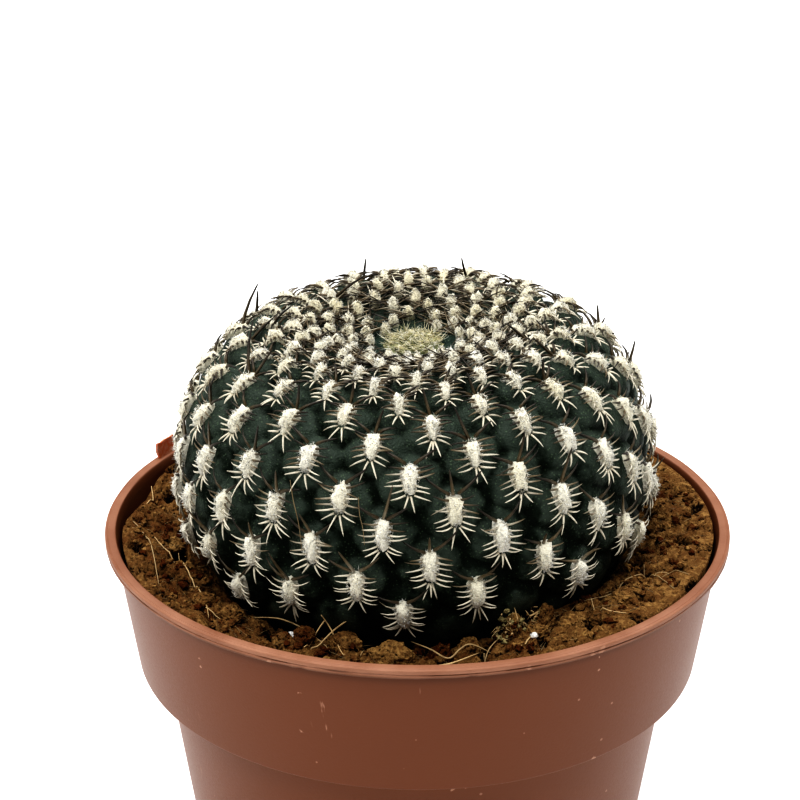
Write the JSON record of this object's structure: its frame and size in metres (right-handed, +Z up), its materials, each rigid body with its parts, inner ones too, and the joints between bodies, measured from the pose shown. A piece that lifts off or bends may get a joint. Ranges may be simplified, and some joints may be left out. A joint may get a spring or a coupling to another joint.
{
  "type": "potted sulcorebutia arenacea",
  "caption": "Squat globular cactus with spiral rows of low tubercles, woolly areoles and comb-like spines, in soil in a collared round plastic nursery pot.",
  "frame": {"origin": "centre of the pot's foot, on the surface that it stands on", "axes": "+Z up along the pot's axis, -Y towards the viewer, +X to the viewer's right"},
  "size_m": [0.105, 0.105, 0.1317],
  "materials": {
    "pot_plastic": "satin terracotta-brown plastic",
    "soil": "crumbly brown potting mix",
    "perlite": "matte white grain",
    "cactus": "dark blackish-green skin with a grey bloom",
    "areole_wool": "cream felt",
    "spines": "cream spines, brown towards the crown",
    "crown_wool": "straw-yellow tuft",
    "root_fibre": "dry straw-coloured root fibres"
  },
  "bodies": {
    "root": {"pot": "pot_plastic", "soil": "soil", "perlite_1": "perlite", "perlite_2": "perlite", "perlite_3": "perlite", "cactus": "cactus", "crown_wool": "crown_wool"}
  },
  "joints": []
}
